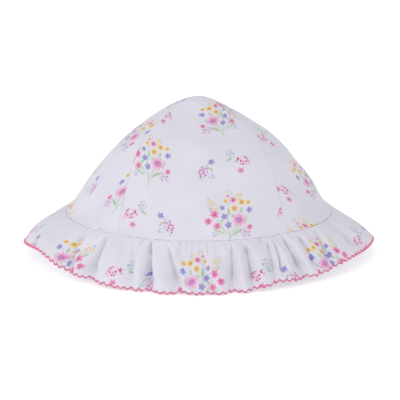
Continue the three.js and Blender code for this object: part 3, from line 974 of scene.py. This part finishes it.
# Centre, half length and half width in mm, turn, floret size, colours, bend
SPRAYS = [
    ((0.8, 27.6), (5.6, 2.4), 84, 1.4, (ROSE, PALE_ROSE, PALE_GREEN, PALE_ROSE), 0),
    ((-8.6, 22.4), (6, 2.2), 124, 1.3, (PALE_BLUE, YELLOW, PALE_GREEN, PALE_BLUE), 0.4),
    ((10, 4.8), (4.4, 2.6), -42, 1.3, (ROSE, PALE_BLUE, PALE_ROSE), 0),
    ((-6.8, 5.4), (3.6, 2), 30, 1.3, (PALE_BLUE, PALE_GREEN, LILAC), 0),
    ((6.8, 27.4), (3.6, 1.8), 62, 1.3, (YELLOW, PALE_GREEN, PALE_BLUE), 0),
    ((-10.4, -20.2), (6.4, 3), 28, 1.6, (ROSE, DEEP_ROSE, PALE_ROSE, ROSE), 0.7),
    ((-2.8, -14.6), (4.2, 2.6), 68, 1.5, (BLUE, PALE_BLUE, PALE_GREEN), 0.5),
    ((13.4, -25.6), (6, 2.8), 112, 1.5, (LILAC, ROSE, PALE_BLUE), -0.6),
    ((9, -28.8), (3, 1.8), 20, 1.4, (PALE_GREEN, PALE_BLUE), 0),
]
print("Blossoms in a repeat:", sum(len(places) for *_, places in BLOSSOMS))

# %% Draw the print
# The print looks painted with a wet brush: dabs about this large, in mm, are down to this strength
DAB_SIZE = 1.3
PALEST_DAB = 0.66
# The values of the noise that give the palest and the fullest dabs
DAB_NOISE = (0.35, 0.6)


def draw_print(tree, ground):
    """The whole print over a ground colour."""
    place = print_place(tree)
    drawn = ground
    for rows, stops in ((STEMS, STEM), (LEAVES, LEAF)):
        for row in rows:
            drawn = lay(tree, drawn, lens(tree, place, *row), stops)
    for row in SPRAYS:
        drawn = spray(tree, place, drawn, *row)
    for stops, petals, turn, notch, places in BLOSSOMS:
        for centre, radius in places:
            drawn = lay(tree, drawn, blossom(tree, place, centre, radius, petals, turn, notch), stops)
    dabs = add_node(tree, "ShaderNodeTexNoise", {"Vector": place, "Scale": 1 / DAB_SIZE, "Detail": 1})
    limits = {"From Min": DAB_NOISE[0], "From Max": DAB_NOISE[1], "To Min": PALEST_DAB, "To Max": 1}
    strength = add_node(tree, "ShaderNodeMapRange", {"Value": dabs.outputs["Fac"], **limits})
    inputs = {SHARE: strength.outputs[0], BELOW: ground, OVER: drawn}
    return add_node(tree, "ShaderNodeMix", inputs, data_type="RGBA").outputs[MIXED]


print("Leaves, stems and sprays in a repeat:", len(LEAVES), len(STEMS), len(SPRAYS))

# %% [markdown]
# ## The cotton
# The hat is of white cotton interlock, a smooth double jersey knit that is soft and a little
# springy. It scatters light evenly, with a faint bloom from its fibres at glancing angles, so it is
# rough with a little sheen. Its loops stand about 0.5 mm apart. They are drawn 0.9 mm apart, as
# finer ones would not show, and only as a slight relief.

# %% Printed cotton interlock
COTTON_CLOUDS = [(0.3, "#D2D0DB", 1), (0.7, "#D8D6E0", 1)]
KNIT_PITCH = 0.9
KNIT_RELIEF = 0.05
KNIT_STRENGTH = 0.6
COTTON_ROUGHNESS = 0.9
COTTON_SHEEN = 0.15
# Slow changes of the white, about this large, in mm
CLOUD_SIZE = 25
# A Wave texture of scale 1 has a wave on each stretch of this length
WAVE_LENGTH = math.pi / 10


def knit_relief(tree):
    """The normal of a knit face: columns of loops crossed by rows of them."""
    flat = add_node(tree, "ShaderNodeUVMap", uv_map=CLOTH_MAP)
    heights = []
    for direction in ("X", "Y"):
        waves = add_node(
            tree, "ShaderNodeTexWave", {"Vector": flat.outputs[0], "Scale": WAVE_LENGTH / (KNIT_PITCH * MM)},
            bands_direction=direction,
        )
        heights.append(waves.outputs["Fac"])
    height = add_node(tree, "ShaderNodeMath", dict(enumerate(heights)), operation="MULTIPLY")
    inputs = {"Height": height.outputs[0], "Distance": KNIT_RELIEF * MM, "Strength": KNIT_STRENGTH}
    return add_node(tree, "ShaderNodeBump", inputs).outputs[0]


def cotton(name, printed):
    material, tree, output = new_material(name)
    flat = add_node(tree, "ShaderNodeUVMap", uv_map=CLOTH_MAP)
    clouds = {"Vector": flat.outputs[0], "Scale": 1 / (CLOUD_SIZE * MM), "Detail": 2}
    cloudy = add_node(tree, "ShaderNodeTexNoise", clouds).outputs["Fac"]
    ground = add_node(tree, "ShaderNodeValToRGB", {0: cloudy}, COTTON_CLOUDS).outputs[0]
    base = draw_print(tree, ground) if printed else ground
    surface = {"Roughness": COTTON_ROUGHNESS, "Sheen Weight": COTTON_SHEEN, "Normal": knit_relief(tree)}
    shader = add_node(tree, "ShaderNodeBsdfPrincipled", {"Base Color": base, **surface})
    tree.links.new(shader.outputs[0], output.inputs[0])
    print(name, "has", len(tree.nodes), "nodes")
    return material


printed_cotton = cotton("cotton_interlock_printed", True)
plain_cotton = cotton("cotton_interlock_reverse", False)
for piece in (*gores, ruffle):
    piece.data.materials.append(printed_cotton)
    piece.data.materials.append(plain_cotton)

# %% [markdown]
# ## The thread
# The edging is mercerised cotton thread: its fibres are swollen and smoothed in lye, which gives a
# soft shine, and it is dyed rose pink. Its colour runs a little darker and lighter at random in a
# fine noise of about a ply's thickness, painted shade that stands in for the shade where the plies cross.

# %% Mercerised cotton thread
# The rose dye, with painted shade: its darker end stands for the shade where the plies cross
THREAD_DYE_AND_SHADE = [(0.3, "#CB5A8C", 1), (0.7, "#E283A8", 1)]
# Grains of the noise in a metre, each about as large as a ply
THREAD_GRAINS = 900
THREAD_RELIEF = 0.1
THREAD_RELIEF_STRENGTH = 0.5
THREAD_ROUGHNESS = 0.6
THREAD_SHEEN = 0.2


def dyed_thread():
    material, tree, output = new_material("mercerised_cotton_thread")
    place = add_node(tree, "ShaderNodeTexCoord").outputs["Object"]
    grains = {"Vector": place, "Scale": THREAD_GRAINS, "Detail": 2}
    # One noise gives the relief of the fibres and the painted shade along the thread
    fibres_and_shade = add_node(tree, "ShaderNodeTexNoise", grains).outputs["Fac"]
    relief = {"Height": fibres_and_shade, "Distance": THREAD_RELIEF * MM, "Strength": THREAD_RELIEF_STRENGTH}
    inputs = {
        "Base Color": add_node(tree, "ShaderNodeValToRGB", {0: fibres_and_shade}, THREAD_DYE_AND_SHADE).outputs[0],
        "Roughness": THREAD_ROUGHNESS,
        "Sheen Weight": THREAD_SHEEN,
        "Normal": add_node(tree, "ShaderNodeBump", relief).outputs[0],
    }
    shader = add_node(tree, "ShaderNodeBsdfPrincipled", inputs)
    tree.links.new(shader.outputs[0], output.inputs[0])
    return material


edging.data.materials.append(dyed_thread())
print("Materials:", sorted(material.name for material in bpy.data.materials))

# %% [markdown]
# ## Hand the pieces to the frame
# Each piece stands for its CAD solid, which it hides, and rides on the hat's only body. The gores are
# shaped sheets sewn taut, and the ruffle is a long strip gathered at its top.

# %% Ride and replace
for piece, name, (span, area) in zip(gores, GORE_NAMES, gore_flats):
    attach(piece, "root")
    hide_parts("crown_gore_" + name)

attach(edging, "root")
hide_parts("picot_edging")
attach(ruffle, "root")
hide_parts("ruffle_brim")
print("Pieces:", [piece.name for piece in (*gores, ruffle, edging)])

# %% [markdown]
# ## Floor and light
# The photograph is nearly shadowless, on white: light comes from all round, a soft box on the left
# models the folds, and a weaker one on the right opens up their shadows. The table shows only a
# faint shadow close to the brim. The floor is given a little light of its own, so that it reaches
# full white in the render.

# %% Floor
FLOOR_SIZE = 12
FLOOR_GLOW = 0.34
FLOOR_BELOW = 0.05
bpy.ops.object.select_all(action="DESELECT")
bpy.ops.mesh.primitive_plane_add(size=FLOOR_SIZE, location=(0, 0, -FLOOR_BELOW * MM))
floor = bpy.context.object
floor.name = "studio_floor"
floor_paint, tree, output = new_material("matt_white_paint")
shader = add_node(tree, "ShaderNodeBsdfPrincipled", {
    "Base Color": colour("#F8F8F8"), "Roughness": 0.95,
    "Emission Color": colour("#FFFFFF"), "Emission Strength": FLOOR_GLOW,
})
tree.links.new(shader.outputs[0], output.inputs[0])
floor.data.materials.append(floor_paint)
print("Floor, m across:", FLOOR_SIZE)

# %% Lights and view
SKY_STRENGTH = 0.8
LIGHT_DISTANCE = 1.6
LIGHT_SIZE = 0.5

# Name, azimuth and height in degrees, power in watts
SOFT_BOXES = [("key_from_the_left", -43, 28, 5.5), ("fill_from_the_right", 60, 30, 1.6)]

world = bpy.data.worlds.new("soft_white_room")
world.use_nodes = True
background = world.node_tree.nodes["Background"]
background.inputs["Color"].default_value = colour("#FFFFFF")
background.inputs["Strength"].default_value = SKY_STRENGTH
bpy.context.scene.world = world

for name, azimuth, height, power in SOFT_BOXES:
    sideways, upwards = azimuth * DEGREE, height * DEGREE
    towards = Vector((
        math.sin(sideways) * math.cos(upwards), -math.cos(sideways) * math.cos(upwards), math.sin(upwards),
    ))
    bpy.ops.object.light_add(type="AREA", location=towards * LIGHT_DISTANCE)
    box = bpy.context.object
    box.name = name
    box.rotation_euler = towards.to_track_quat("Z", "Y").to_euler()
    box.data.shape = "SQUARE"
    box.data.size = LIGHT_SIZE
    box.data.energy = power
bpy.context.scene.view_settings.view_transform = "Standard"
print("Soft boxes:", [name for name, *_ in SOFT_BOXES])
